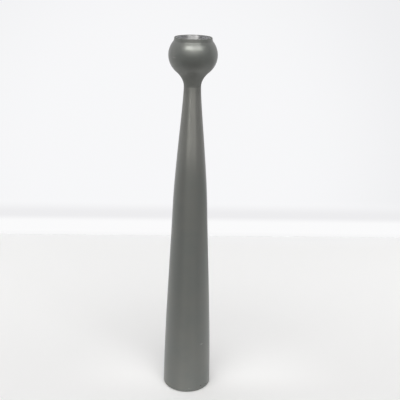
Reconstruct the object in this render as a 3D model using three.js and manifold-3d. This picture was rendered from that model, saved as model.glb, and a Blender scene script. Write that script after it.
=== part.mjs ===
// A tall turned candlestick in grey lacquered beech: a slim column on a round weighted foot, a narrow
// neck, and a round bowl that holds a loose steel cup for one household candle.
// Millimetres, +Z up, origin on the table under the centre of the foot.

import * as THREE from 'three';
import { mergeVertices } from 'three/addons/utils/BufferGeometryUtils.js';
import Module from 'manifold-3d';

const wasm = await Module();
wasm.setup();

// Heights from the table
const height = 385;
const headHeight = 48;
const middleHeight = 212;

// The column. A slope is how much its radius shrinks for each millimetre of height.
const footRadius = 25.9;
const footBevel = 0.6;
const footSlope = 0.006;
const middleRadius = 18.1;
const middleSlope = 0.037;
const neckRadius = 8.6;
const neckEaseBelow = 16.5;

// The bowl: a slightly flattened ball that a curve draws down into the neck, under a low collar
const neckEaseAbove = 6.8;
const ballEase = 3.2;
const ballJoinAngle = -47.7;
const ballDrop = 17.25;
const ballRadius = 24.25;
const ballHalfHeight = 22.2;
const collarRadius = 19.15;
const collarLean = 0.6;
const collarWall = 2.2;
const lipRounding = 0.7;
const boreEndGap = 0.5;

// The steel cup: a wax dish with a candle socket in its floor
const candleRadius = 11;
const candlePlay = 0.25;
const sheet = 0.75;
const cupPlay = 0.3;
const cupDrop = 0.4;
const dishDepth = 10;
const dishCorner = 1.5;
const socketDepth = 18;
const socketShoulder = 1.5;
const socketCorner = 2;

// The dowel in the neck
const dowelRadius = 4;
const dowelLength = 30;
const dowelInBowl = 12;
const dowelFlutes = 12;
const fluteDepth = 0.35;
const dowelEndBevel = 1;
const glueGap = 0.3;

// Under the foot: a felt pad in a shallow recess, and a steel disc above it
const padRadius = 23.5;
const padThickness = 2;
const padRecess = 1.25;
const padRounding = 0.4;
const weightRadius = 19;
const weightThickness = 12;
const weightBevel = 0.5;
const footPlay = 0.3;

// The countersunk wood screw that holds the disc
const screwRadius = 2;
const screwLength = 30;
const screwPoint = 5;
const screwHeadRadius = 4;
const screwHeadRim = 0.3;
const screwHeadCone = 2;
const screwSunk = 0.25;
const screwPlay = 0.3;
const crossWidth = 0.9;
const crossSpan = 4.4;
const crossDepth = 1.5;

// Facets
const sides = 48;
const smallSides = 24;
const taperSteps = 8;
const ballSteps = 18;
const easeSteps = 8;
const cornerSteps = 4;

// Sizes that follow
const neckHeight = height - headHeight;
const ballHeight = height - ballDrop;
const mouthRadius = collarRadius - collarWall;
const cupTop = height - cupDrop;
const dishFloor = cupTop - dishDepth;
const seatHeight = dishFloor - sheet;
const socketFloor = dishFloor - socketDepth;
const cupBottom = socketFloor - sheet;
const socketRadius = candleRadius + candlePlay;
const dishRadius = mouthRadius - cupPlay - sheet;
const padProud = padThickness - padRecess;
const weightTop = padThickness + weightThickness;

const lacquer = { color: 0x6c6e69, roughness: 0.42, metalness: 0 };
const beech = { color: 0xc9a577, roughness: 0.75, metalness: 0 };
const stainless = { color: 0xc4c5c8, roughness: 0.3, metalness: 1 };
const mildSteel = { color: 0x85888b, roughness: 0.5, metalness: 1 };
const zinc = { color: 0xb9bcc0, roughness: 0.35, metalness: 1 };
const felt = { color: 0x2e2f2f, roughness: 1, metalness: 0 };

// A point of a turned outline: its distance from the axis and its height.
function at(radius, z) {
  return new THREE.Vector2(radius, z);
}

function bezier(start, startHandle, endHandle, end, steps) {
  return new THREE.CubicBezierCurve(start, startHandle, endHandle, end).getPoints(steps);
}

// Part of an ellipse round a centre, between two angles in degrees counted from straight outwards.
function ellipse(centre, across, up, from, to, steps) {
  const [start, end] = [from, to].map(THREE.MathUtils.degToRad);
  return new THREE.EllipseCurve(centre.x, centre.y, across, up, start, end, to < from).getPoints(steps);
}

function arc(centre, radius, from, to, steps = cornerSteps) {
  return ellipse(centre, radius, radius, from, to, steps);
}

// Turns an outline about the Z axis. It runs up the outside and down the inside of the piece.
function turned(outline, segments = sides) {
  const distinct = outline.filter((point, i) => i === 0 || point.distanceTo(outline[i - 1]) > 0.001);
  return new THREE.LatheGeometry(distinct, segments).rotateX(Math.PI / 2);
}

function solid(geometry) {
  const plain = geometry.clone();
  plain.deleteAttribute('normal');
  plain.deleteAttribute('uv');
  const merged = mergeVertices(plain, 0.0001);
  const corners = Array.from(merged.index.array);
  const faces = [];
  for (let i = 0; i < corners.length; i += 3) {
    const [a, b, c] = corners.slice(i, i + 3);
    if (a !== b && b !== c && c !== a) {
      faces.push(a, b, c);
    }
  }
  return new wasm.Manifold(new wasm.Mesh({
    numProp: 3,
    vertProperties: new Float32Array(merged.attributes.position.array),
    triVerts: new Uint32Array(faces),
  }));
}

function cut(geometry, ...tools) {
  const result = tools.reduce((body, tool) => body.subtract(solid(tool)), solid(geometry)).getMesh();
  const cutGeometry = new THREE.BufferGeometry();
  cutGeometry.setAttribute('position', new THREE.BufferAttribute(new Float32Array(result.vertProperties), 3));
  cutGeometry.setIndex(Array.from(result.triVerts));
  return cutGeometry;
}

function piece(name, geometry, finish) {
  const mesh = new THREE.Mesh(geometry, new THREE.MeshStandardMaterial(finish));
  mesh.name = name;
  return mesh;
}

// The column, bored from below for the pad, the disc and its screw, and from above for the dowel
function makeStem() {
  const third = middleHeight / 3;
  const upperThird = (neckHeight - middleHeight) / 3;
  const footEdge = at(footRadius, padProud + footBevel);
  const middle = at(middleRadius, middleHeight);
  const neck = at(neckRadius, neckHeight);
  const holeRadius = dowelRadius + glueGap;
  const holeBottom = neckHeight - (dowelLength - dowelInBowl) - glueGap;
  const pilotRadius = screwRadius + screwPlay;
  const pilotTop = padThickness + screwSunk + screwLength + screwPlay;
  const outline = [
    at(0, pilotTop),
    at(pilotRadius, pilotTop),
    at(pilotRadius, weightTop),
    at(weightRadius + footPlay, weightTop),
    at(weightRadius + footPlay, padThickness),
    at(padRadius + footPlay, padThickness),
    at(padRadius + footPlay, padProud),
    at(footRadius - footBevel, padProud),
    ...bezier(
      footEdge,
      at(footRadius - footSlope * third, third),
      at(middleRadius + middleSlope * third, middleHeight - third),
      middle,
      taperSteps,
    ),
    ...bezier(
      middle,
      at(middleRadius - middleSlope * upperThird, middleHeight + upperThird),
      at(neckRadius, neckHeight - neckEaseBelow),
      neck,
      taperSteps,
    ),
    at(holeRadius, neckHeight),
    at(holeRadius, holeBottom),
    at(0, holeBottom),
  ];
  return turned(outline);
}

// The head, bored from above in two steps for the cup and from below for the dowel
function makeBowl() {
  const holeRadius = dowelRadius + glueGap;
  const holeTop = neckHeight + dowelInBowl + glueGap;
  const boreRadius = socketRadius + sheet + cupPlay;
  const boreBottom = cupBottom - boreEndGap;
  const boreBevel = socketShoulder - sheet + cupPlay / 2;
  const lip = Math.min(lipRounding, collarWall - collarLean - 0.1);
  const ball = at(0, ballHeight);
  const joinAngle = THREE.MathUtils.degToRad(ballJoinAngle);
  const join = at(ballRadius * Math.cos(joinAngle), ballHeight + ballHalfHeight * Math.sin(joinAngle));
  const along = at(-ballRadius * Math.sin(joinAngle), ballHalfHeight * Math.cos(joinAngle)).setLength(ballEase);
  const collarAngle = THREE.MathUtils.radToDeg(Math.acos(collarRadius / ballRadius));
  const outline = [
    at(0, holeTop),
    at(holeRadius, holeTop),
    at(holeRadius, neckHeight),
    ...bezier(
      at(neckRadius, neckHeight),
      at(neckRadius, neckHeight + neckEaseAbove),
      join.clone().sub(along),
      join,
      easeSteps,
    ),
    ...ellipse(ball, ballRadius, ballHalfHeight, ballJoinAngle, collarAngle, ballSteps),
    ...arc(at(collarRadius - collarLean - lip, height - lip), lip, 0, 90),
    at(mouthRadius, height),
    at(mouthRadius, seatHeight),
    at(boreRadius + boreBevel, seatHeight),
    at(boreRadius, seatHeight - boreBevel),
    at(boreRadius, boreBottom),
    at(0, boreBottom),
  ];
  return turned(outline);
}

// The cup is one sheet thick all over. Each corner is drawn twice, once on each side of the sheet.
function makeCup() {
  const shoulder = at(socketRadius + socketShoulder, dishFloor - socketShoulder);
  const dish = at(dishRadius - dishCorner, dishFloor + dishCorner);
  const foot = at(socketRadius - socketCorner, socketFloor + socketCorner);
  const rim = at(dishRadius + sheet / 2, cupTop - sheet / 2);
  const outline = [
    at(0, cupBottom),
    ...arc(foot, socketCorner + sheet, -90, 0),
    ...arc(shoulder, socketShoulder - sheet, 180, 90),
    ...arc(dish, dishCorner + sheet, -90, 0),
    ...arc(rim, sheet / 2, 0, 180),
    ...arc(dish, dishCorner, 0, -90),
    ...arc(shoulder, socketShoulder, 90, 180),
    ...arc(foot, socketCorner, 0, -90),
    at(0, socketFloor),
  ];
  return turned(outline);
}

// A fluted beech dowel with bevelled ends, standing on its lower end
function makeDowel() {
  const points = [];
  for (let i = 0; i < dowelFlutes; i += 1) {
    for (const [turn, radius] of [[0.15, dowelRadius], [0.5, dowelRadius - fluteDepth], [0.85, dowelRadius]]) {
      const angle = 2 * Math.PI * (i + turn) / dowelFlutes;
      points.push(new THREE.Vector2(radius * Math.cos(angle), radius * Math.sin(angle)));
    }
  }
  const bevel = { bevelThickness: dowelEndBevel, bevelSize: dowelEndBevel / 2, bevelOffset: -dowelEndBevel / 2 };
  const length = dowelLength - 2 * dowelEndBevel;
  const options = { depth: length, bevelEnabled: true, bevelSegments: 1, ...bevel };
  return new THREE.ExtrudeGeometry(new THREE.Shape(points), options).translate(0, 0, dowelEndBevel);
}

// A steel disc with a countersunk hole, standing on its countersunk side
function makeWeight() {
  const holeRadius = screwRadius + screwPlay;
  const sinkRadius = screwHeadRadius + screwPlay;
  const sinkTop = screwSunk + screwHeadRim + screwHeadCone;
  const top = at(holeRadius, weightThickness);
  const outline = [
    top,
    at(holeRadius, sinkTop),
    at(sinkRadius, screwSunk + screwHeadRim),
    at(sinkRadius, 0),
    at(weightRadius - weightBevel, 0),
    at(weightRadius, weightBevel),
    at(weightRadius, weightThickness - weightBevel),
    at(weightRadius - weightBevel, weightThickness),
    top.clone(),
  ];
  return turned(outline);
}

// The screw stands on its head, with its point up and a cross cut into the head
function makeScrew() {
  const coneTop = screwHeadRim + screwHeadCone;
  const outline = [
    at(0, 0),
    at(screwHeadRadius, 0),
    at(screwHeadRadius, screwHeadRim),
    at(screwRadius, coneTop),
    at(screwRadius, screwLength - screwPoint),
    at(0, screwLength),
  ];
  const bar = new THREE.BoxGeometry(crossSpan, crossWidth, 2 * crossDepth);
  return cut(turned(outline, smallSides), bar, bar.clone().rotateZ(Math.PI / 2));
}

// A felt disc that reaches a little below the wood
function makePad() {
  const outline = [
    at(0, 0),
    ...arc(at(padRadius - padRounding, padRounding), padRounding, -90, 0, 2),
    at(padRadius, padThickness),
    at(0, padThickness),
  ];
  return turned(outline);
}

const foot = new THREE.Group();
const weight = piece('base_weight', makeWeight(), mildSteel);
weight.position.z = padThickness;
const screw = piece('weight_screw', makeScrew(), zinc);
screw.position.z = padThickness + screwSunk;
foot.add(piece('base_pad', makePad(), felt), weight, screw);

const head = new THREE.Group();
head.add(piece('bowl', makeBowl(), lacquer), piece('candle_cup', makeCup(), stainless));

const dowel = piece('neck_dowel', makeDowel(), beech);
dowel.position.z = neckHeight + dowelInBowl - dowelLength;

const candlestick = new THREE.Group();
candlestick.add(piece('stem', makeStem(), lacquer), head, dowel, foot);

export default candlestick;
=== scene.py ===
"""Gives a tall turned candlestick its finishes, and sets it in soft light on a pale floor.

A slim column of grey lacquered beech stands on a round weighted foot. Its narrow neck carries a round
bowl, and the bowl holds a loose steel cup for one household candle. Lengths are in metres, +Z is up,
and the origin is on the table, under the centre of the foot.
"""

import logging
import math
from dataclasses import dataclass, field
from enum import Enum
from functools import reduce
from typing import Any

import bpy
from mathutils import Matrix, Vector


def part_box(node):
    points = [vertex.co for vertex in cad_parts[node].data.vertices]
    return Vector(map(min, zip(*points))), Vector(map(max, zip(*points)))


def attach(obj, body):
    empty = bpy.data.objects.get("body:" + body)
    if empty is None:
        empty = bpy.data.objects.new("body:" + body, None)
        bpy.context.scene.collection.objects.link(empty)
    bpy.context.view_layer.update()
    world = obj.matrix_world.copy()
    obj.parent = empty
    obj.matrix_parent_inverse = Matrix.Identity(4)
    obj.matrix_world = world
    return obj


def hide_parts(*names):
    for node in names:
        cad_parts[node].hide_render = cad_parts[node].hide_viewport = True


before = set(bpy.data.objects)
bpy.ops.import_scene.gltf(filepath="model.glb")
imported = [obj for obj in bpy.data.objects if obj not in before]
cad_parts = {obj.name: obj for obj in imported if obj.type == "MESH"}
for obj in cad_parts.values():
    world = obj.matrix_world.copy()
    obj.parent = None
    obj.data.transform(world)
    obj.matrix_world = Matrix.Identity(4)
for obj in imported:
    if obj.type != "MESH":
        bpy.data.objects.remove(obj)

log = logging.getLogger("candlestick")

Colour = tuple[float, float, float]
Point = tuple[float, float, float]
Span = tuple[float, float]
Flat = tuple[float, float]
Inputs = dict[str | int, Any]
Socket = bpy.types.NodeSocket
Node = bpy.types.Node
Piece = bpy.types.Object

MM = 0.001
FULL_TURN = 2.0 * math.pi
# How far from a bend's end to its corner a handle reaches, for a bend that is nearly round.
ROUND_HANDLE = 0.55
# The warm white of the lamps and windows that show in gloss.
WARM: Colour = (1.0, 0.99, 0.95)

NUMBER = "NodeSocketFloat"
WHOLE = "NodeSocketInt"
GEOMETRY = "NodeSocketGeometry"
MATERIAL = "NodeSocketMaterial"


def low(node: str) -> Vector:
    """Returns the lowest corner of a solid of the frame."""
    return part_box(node)[0]


def high(node: str) -> Vector:
    """Returns the highest corner of a solid of the frame."""
    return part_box(node)[1]


def opaque(colour: Colour) -> tuple[float, float, float, float]:
    """Returns a colour with full alpha, as a colour socket takes it."""
    return (*colour, 1.0)


def lifted(span: Span, height: float) -> Span:
    """Returns a span of heights, moved up by a height."""
    return span[0] + height, span[1] + height


@dataclass(frozen=True)
class Mark:
    """A small spot on a turned piece, placed round the axis and along it.

    Attributes:
        turn: Where it lies round the axis, in degrees from +X towards +Y.
        height: The height of its centre.
        radius: The radius of the piece there.
        length: Its reach round the piece, to each side of its centre.
        width: Its reach up and down from its centre.
    """

    turn: float
    height: float
    radius: float
    length: float
    width: float


class Nodes:
    """Adds nodes to one tree and links them, each in a single call."""

    def __init__(self, tree: bpy.types.NodeTree) -> None:
        """Keeps the tree that is written to."""
        self.tree = tree

    @classmethod
    def of(cls, owner: bpy.types.Material | bpy.types.World) -> "Nodes":
        """Empties the tree of a material or a world.

        Args:
            owner: The material or the world.

        Returns:
            Its tree, ready for new nodes.
        """
        owner.use_nodes = True
        owner.node_tree.nodes.clear()
        return cls(owner.node_tree)

    def add(self, kind: str, inputs: Inputs | None = None, **settings: Any) -> Node:
        """Adds one node.

        Args:
            kind: The node's type.
            inputs: What goes into its sockets, by name or number: another node's socket or a value.
            settings: The node's own settings.

        Returns:
            The new node.
        """
        node = self.tree.nodes.new(kind)
        for name, value in settings.items():
            setattr(node, name, value)
        for key, value in (inputs or {}).items():
            if isinstance(value, Socket):
                self.tree.links.new(value, node.inputs[key])
            else:
                node.inputs[key].default_value = value
        return node

    def link(self, node: Node, **sockets: Socket) -> None:
        """Links values to a node's sockets, given by their names with _ for a space."""
        for name, value in sockets.items():
            self.tree.links.new(value, node.inputs[name.replace("_", " ")])

    def math(self, operation: str, *values: Socket | float) -> Socket:
        """Returns the result of a sum on numbers."""
        return self.add("ShaderNodeMath", dict(enumerate(values)), operation=operation).outputs[0]

    def product(self, *values: Socket | float) -> Socket:
        """Returns the product of several numbers."""
        return reduce(lambda first, second: self.math("MULTIPLY", first, second), values)

    def squares(self, first: Socket, second: Socket) -> Socket:
        """Returns the squares of two numbers, added up."""
        return self.math("ADD", self.product(first, first), self.product(second, second))

    def vector_math(self, operation: str, *values: Any) -> Socket:
        """Returns the result of a sum on vectors: a number for a dot product, and else a vector."""
        node = self.add("ShaderNodeVectorMath", dict(enumerate(values)), operation=operation)
        return node.outputs["Value" if operation == "DOT_PRODUCT" else "Vector"]

    def combine(self, x: Socket | float, y: Socket | float, z: Socket | float) -> Socket:
        """Returns a vector made of three numbers."""
        return self.add("ShaderNodeCombineXYZ", {0: x, 1: y, 2: z}).outputs[0]

    def separate(self, vector: Socket) -> tuple[Socket, Socket, Socket]:
        """Returns the three numbers that a vector holds."""
        x, y, z = self.add("ShaderNodeSeparateXYZ", {0: vector}).outputs
        return x, y, z

    def height(self, place: Socket) -> Socket:
        """Returns how high a place lies."""
        return self.separate(place)[2]

    def place(self) -> Socket:
        """Returns a point's place on the object."""
        return self.add("ShaderNodeTexCoord").outputs["Object"]

    def noise(
        self, place: Socket, scale: Socket | float, detail: float, roughness: float = 0.5
    ) -> Socket:
        """Makes a soft random value.

        Args:
            place: Where it is read.
            scale: Lumps per metre.
            detail: How many finer layers lie on it.
            roughness: How strong each finer layer is.

        Returns:
            The value, from 0 to 1.
        """
        inputs = {"Vector": place, "Scale": scale, "Detail": detail, "Roughness": roughness}
        return self.add("ShaderNodeTexNoise", inputs).outputs[0]

    def between(
        self, value: Socket, start: Socket | float, end: Socket | float,
        first: float = 0.0, last: float = 1.0,
    ) -> Socket:
        """Fades from one value to another while a number passes from start to end.

        Args:
            value: The number that is watched.
            start: Where the fade begins.
            end: Where it ends.
            first: The result at the start.
            last: The result at the end.

        Returns:
            The faded value.
        """
        inputs = {0: value, 1: start, 2: end, 3: first, 4: last}
        return self.add("ShaderNodeMapRange", inputs, interpolation_type="SMOOTHSTEP").outputs[0]

    def blend(self, share: Socket, first: Socket | Colour, second: Socket | Colour) -> Socket:
        """Mixes two colours.

        Args:
            share: The share of the second.
            first: The first colour.
            second: The second colour.

        Returns:
            The mixed colour.
        """
        first, second = (opaque(side) if isinstance(side, tuple) else side for side in (first, second))
        node = self.add("ShaderNodeMix", {0: share, 6: first, 7: second}, data_type="RGBA")
        return node.outputs[2]

    def stretched(self, place: Socket, scale: Point) -> Socket:
        """Returns a place whose pattern is finer or coarser along each direction."""
        inputs = {"Vector": place, "Scale": scale}
        return self.add("ShaderNodeMapping", inputs, vector_type="POINT").outputs[0]

    def around(self, place: Socket) -> tuple[Socket, Socket]:
        """Returns a place's angle round the Z axis, in radians, and its distance from it."""
        x, y, _ = self.separate(place)
        return self.math("ARCTAN2", y, x), self.math("SQRT", self.squares(x, y))

    def closeness(self, place: Socket, mark: Mark) -> Socket:
        """Tells how close a place lies to a mark.

        Args:
            place: Where it is read.
            mark: The mark on the piece.

        Returns:
            1 at the centre of the mark, falling to 0 at its edge.
        """
        angle, _ = self.around(place)
        turned = self.math("SUBTRACT", angle, math.radians(mark.turn))
        along = self.product(turned, mark.radius / mark.length)
        up = self.product(self.math("SUBTRACT", self.height(place), mark.height), 1.0 / mark.width)
        return self.between(self.math("SQRT", self.squares(along, up)), 1.0, 0.0)

    def bump(self, pattern: Socket, depth: float, under: Socket | None = None) -> Socket:
        """Raises a pattern on a surface.

        Args:
            pattern: The pattern, from 0 to 1.
            depth: How high it stands.
            under: A bumped surface that this one lies on.

        Returns:
            The bent normal.
        """
        inputs = {"Strength": 1.0, "Distance": depth, "Height": pattern}
        if under is not None:
            inputs["Normal"] = under
        return self.add("ShaderNodeBump", inputs).outputs[0]

    def draw_out(self, shader: Node, share: float) -> None:
        """Draws a surface's reflections out along the Z axis.

        Args:
            shader: The surface.
            share: How far, from 0 to 1.
        """
        quarter_turn = 0.25
        shader.inputs["Anisotropic"].default_value = share
        shader.inputs["Anisotropic Rotation"].default_value = quarter_turn
        tangent = self.add("ShaderNodeTangent", direction_type="RADIAL", axis="Z").outputs[0]
        self.link(shader, Tangent=tangent)

    def unseen(self) -> Socket:
        """Tells light that lights or shows in gloss from what the camera sees.

        Returns:
            1 for such light, and 0 where the camera looks, straight or through glass.
        """
        path = self.add("ShaderNodeLightPath").outputs
        seen = self.math("MAXIMUM", path["Is Camera Ray"], path["Is Transmission Ray"])
        return self.math("SUBTRACT", 1.0, seen)


@dataclass(frozen=True)
class Pattern:
    """A soft random pattern in space.

    Attributes:
        scale: Lumps per metre, one number for all directions or one for each.
        detail: How many finer layers lie on it.
        roughness: How strong each finer layer is.
        fade: The noise where the pattern begins and where it is full, or None for the noise itself.
        ends: The pattern's own values at those two.
    """

    scale: float | Point
    detail: float
    roughness: float = 0.5
    fade: Span | None = None
    ends: Span = (0.0, 1.0)

    def at(self, nodes: Nodes, place: Socket) -> Socket:
        """Reads the pattern.

        Args:
            nodes: The material's tree.
            place: Where it is read.

        Returns:
            Its value there.
        """
        scale = self.scale
        if isinstance(scale, tuple):
            place, scale = nodes.stretched(place, scale), 1.0
        value = nodes.noise(place, scale, self.detail, self.roughness)
        return nodes.between(value, *self.fade, *self.ends) if self.fade else value


@dataclass(frozen=True)
class Finish:
    """What a surface is made of.

    Attributes:
        name: The material's name, which none of the frame's own materials has.
        slot: A slot name kept with the finish; it is not used.
        colour: Its base colour, in linear light.
        roughness: How far it spreads a reflection, from 0 to 1.
    """

    name: str
    slot: str
    colour: Colour
    roughness: float

    def material(self) -> bpy.types.Material:
        """Makes the material, unless an earlier call has made it.

        Returns:
            The material.
        """
        material = bpy.data.materials.get(self.name)
        if material is None:
            material = bpy.data.materials.new(self.name)
            material.diffuse_color = opaque(self.colour)
            nodes = Nodes.of(material)
            inputs = {"Base Color": opaque(self.colour), "Roughness": self.roughness}
            shader = nodes.add("ShaderNodeBsdfPrincipled", inputs)
            nodes.add("ShaderNodeOutputMaterial", {"Surface": shader.outputs[0]})
            self.paint(nodes, shader, nodes.place())
        return material

    def paint(self, nodes: Nodes, shader: Node, place: Socket) -> None:
        """Adds the finish's own pattern.

        Args:
            nodes: The material's tree.
            shader: The surface that takes the pattern.
            place: A point's place on the object.
        """
        raise NotImplementedError


@dataclass(frozen=True)
class Rubbing:
    """How a turned surface was rubbed down while it turned, which draws its reflections out, with painted
    light on its upper part.

    Attributes:
        drawn: How far reflections are drawn out along the axis, from 0 to 1.
        fine: The roughness where it was rubbed most.
        coarse: The roughness where it was rubbed least.
        coarser: The heights between which it goes from fine to coarse.
        upper_painted_light: The paler grey painted on the upper column, as painted light.
        upper_light_heights: The heights between which that painted light begins and is full.
    """

    drawn: float = 1.0
    fine: float = 0.28
    coarse: float = 0.415
    coarser: Span = (0.250, 0.292)
    # Painted light: the upper column is painted a paler grey above these heights.
    upper_painted_light: Colour = (0.209, 0.210, 0.197)
    upper_light_heights: Span = (0.235, 0.290)

    def upper_light_share(self, nodes: Nodes, height: Socket) -> Socket:
        """Returns how much painted light lies on the column at a height, from 0 to 1."""
        return nodes.between(height, *self.upper_light_heights)

    def gloss(self, nodes: Nodes, height: Socket) -> Socket:
        """Returns the roughness at a height."""
        return nodes.between(height, *self.coarser, self.fine, self.coarse)


@dataclass(frozen=True)
class Lacquer(Finish):
    """Satin lacquer with a little metal pigment, sprayed on turned beech.

    Attributes:
        metallic: The share of metal pigment in its gloss.
        rubbing: How it was rubbed down on the lathe, or None where it wasn't.
        cool_colour: The slightly greener grey that it drifts to.
        drift: Where it drifts.
        rubbed_colour: The paler grey of worn places, which on the foot's lower edge is also a painted glint.
        worn_lip: The heights, from the lip, between which wear begins and is full.
        lip_wear: How worn the lip is, from 0 to 1.
        foot_wear_and_glint_heights: The same heights, from the wood's lower edge, where wear and a painted
            glint lie.
        foot_wear_and_glint: How worn the foot's edge is, and how strong the painted glint there is.
        wear_spots: Where a worn edge shows wear.
        wear_roughness: How much rougher worn places are.
        scuffs: Faint rubbed places.
        streaks: The fine streaks in them.
        chip_colour: The dark ground in a chip.
        nicks: Small chips down to that ground.
        ragged: What makes a chip's edge ragged.
        chip_edge: The closeness between which a chip begins and is full.
        cloud: Where the gloss drifts, from -1 to 1.
        unevenness: How far the roughness drifts to either side.
        dull: The roughness in the neck, where lacquer has settled, and on the lip, which hands touch.
        dull_above: The heights, from the neck's seam, where dullness begins and is full, from above.
        dull_below: The same from below.
        dull_lip: The same heights, from the lip.
        pores: The grain of the wood under the lacquer.
        pore_depth: Its depth.
        peel: The dimples that spraying leaves.
        dust: Grains of dust under the lacquer.
        peel_depth: The height of dimples and dust.
    """

    name: str = "satin_grey_lacquer"
    slot: str = "grey_lacquer"
    colour: Colour = (0.167, 0.171, 0.160)
    roughness: float = 0.36
    metallic: float = 0.55
    rubbing: Rubbing | None = None
    cool_colour: Colour = (0.157, 0.165, 0.156)
    drift: Pattern = Pattern(38.0, 3.0, fade=(0.35, 0.65))
    rubbed_colour: Colour = (0.235, 0.236, 0.226)
    worn_lip: Span = (-0.8 * MM, 0.0)
    lip_wear: float = 0.2
    foot_wear_and_glint_heights: Span = (1.2 * MM, 0.3 * MM)
    foot_wear_and_glint: float = 0.7
    wear_spots: Pattern = Pattern(420.0, 4.0, fade=(0.45, 0.7))
    wear_roughness: float = 0.12
    scuffs: tuple[Mark, ...] = (
        Mark(turn=-139.0, height=367.3 * MM, radius=24.2 * MM, length=4.2 * MM, width=1.0 * MM),
        Mark(turn=-51.0, height=57.6 * MM, radius=24.7 * MM, length=3.0 * MM, width=1.5 * MM),
        Mark(turn=-83.5, height=4.9 * MM, radius=25.9 * MM, length=1.6 * MM, width=0.7 * MM),
    )
    streaks: Pattern = Pattern((900.0, 900.0, 3500.0), 2.0, fade=(0.35, 0.7), ends=(0.8, 1.4))
    chip_colour: Colour = (0.035, 0.033, 0.030)
    nicks: tuple[Mark, ...] = (
        Mark(turn=-52.0, height=5.6 * MM, radius=25.9 * MM, length=1.2 * MM, width=0.8 * MM),
        Mark(turn=-35.5, height=4.6 * MM, radius=25.9 * MM, length=1.6 * MM, width=0.6 * MM),
    )
    ragged: Pattern = Pattern(1500.0, 2.0, fade=(0.35, 0.65), ends=(0.3, 1.4))
    chip_edge: Span = (0.15, 0.4)
    cloud: Pattern = Pattern(90.0, 3.0, fade=(0.3, 0.7), ends=(-1.0, 1.0))
    unevenness: float = 0.02
    dull: float = 0.6
    dull_above: Span = (24.0 * MM, 8.0 * MM)
    dull_below: Span = (-12.0 * MM, 0.0)
    dull_lip: Span = (-1.1 * MM, -0.5 * MM)
    pores: Pattern = Pattern((1400.0, 1400.0, 45.0), 2.0, 0.6, fade=(0.36, 0.5))
    pore_depth: float = 0.008 * MM
    peel: Pattern = Pattern(850.0, 1.0)
    dust: Pattern = Pattern(1900.0, 1.0, fade=(0.72, 0.8))
    peel_depth: float = 0.003 * MM

    def paint(self, nodes: Nodes, shader: Node, place: Socket) -> None:
        """Adds drifting greys, wear, grain, spray dimples and dust.

        Args:
            nodes: The material's tree.
            shader: The surface that takes the pattern.
            place: A point's place on the object.
        """
        shader.inputs["Metallic"].default_value = self.metallic
        if self.rubbing:
            nodes.draw_out(shader, self.rubbing.drawn)
        worn = self.wear(nodes, place)
        normal = nodes.bump(self.pores.at(nodes, place), self.pore_depth)
        for raised in (self.peel, self.dust):
            normal = nodes.bump(raised.at(nodes, place), self.peel_depth, normal)
        colour, gloss = self.tone(nodes, place, worn), self.gloss(nodes, place, worn)
        nodes.link(shader, Base_Color=colour, Roughness=gloss, Normal=normal)

    def wear(self, nodes: Nodes, place: Socket) -> Socket:
        """Finds the edges that hands and tables touch, and the scuffs.

        Args:
            nodes: The material's tree.
            place: A point's place on the object.

        Returns:
            How worn the lacquer is there, from 0 to 1.
        """
        height = nodes.height(place)
        lip = nodes.between(height, *lifted(self.worn_lip, high("bowl").z), 0.0, self.lip_wear)
        # On the foot's lower edge the paler grey is wear and also a painted glint on the arris.
        foot = nodes.between(height, *lifted(self.foot_wear_and_glint_heights, low("stem").z), 0.0, self.foot_wear_and_glint)
        worn = nodes.product(nodes.math("MAXIMUM", lip, foot), self.wear_spots.at(nodes, place))
        streaks = self.streaks.at(nodes, place)
        for scuff in self.scuffs:
            worn = nodes.math("MAXIMUM", worn, nodes.product(nodes.closeness(place, scuff), streaks))
        return worn

    def tone(self, nodes: Nodes, place: Socket, worn: Socket) -> Socket:
        """Mixes the painted light on the upper column and the greys of wear and chips.

        Args:
            nodes: The material's tree.
            place: A point's place on the object.
            worn: How worn the lacquer is there.

        Returns:
            The colour there.
        """
        colour = nodes.blend(self.drift.at(nodes, place), self.colour, self.cool_colour)
        # Painted light: the upper column is painted paler, to brighten it.
        if self.rubbing:
            upper_light_share = self.rubbing.upper_light_share(nodes, nodes.height(place))
            colour = nodes.blend(upper_light_share, colour, self.rubbing.upper_painted_light)
        colour = nodes.blend(worn, colour, self.rubbed_colour)
        ragged = self.ragged.at(nodes, place)
        for nick in self.nicks:
            chip = nodes.between(nodes.product(nodes.closeness(place, nick), ragged), *self.chip_edge)
            colour = nodes.blend(chip, colour, self.chip_colour)
        return colour

    def gloss(self, nodes: Nodes, place: Socket, worn: Socket) -> Socket:
        """Spreads the gloss: duller in the neck, on the lip and where it is worn.

        Args:
            nodes: The material's tree.
            place: A point's place on the object.
            worn: How worn the lacquer is there.

        Returns:
            The roughness there.
        """
        height, seam = nodes.height(place), high("stem").z
        base = self.rubbing.gloss(nodes, height) if self.rubbing else self.roughness
        above = nodes.between(height, *lifted(self.dull_above, seam))
        below = nodes.between(height, *lifted(self.dull_below, seam))
        lip = nodes.between(height, *lifted(self.dull_lip, high("bowl").z))
        matt = nodes.math("MAXIMUM", nodes.product(above, below), lip)
        base = nodes.math("MULTIPLY_ADD", matt, nodes.math("SUBTRACT", self.dull, base), base)
        base = nodes.math("MULTIPLY_ADD", self.cloud.at(nodes, place), self.unevenness, base)
        return nodes.math("MULTIPLY_ADD", worn, self.wear_roughness, base)


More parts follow.
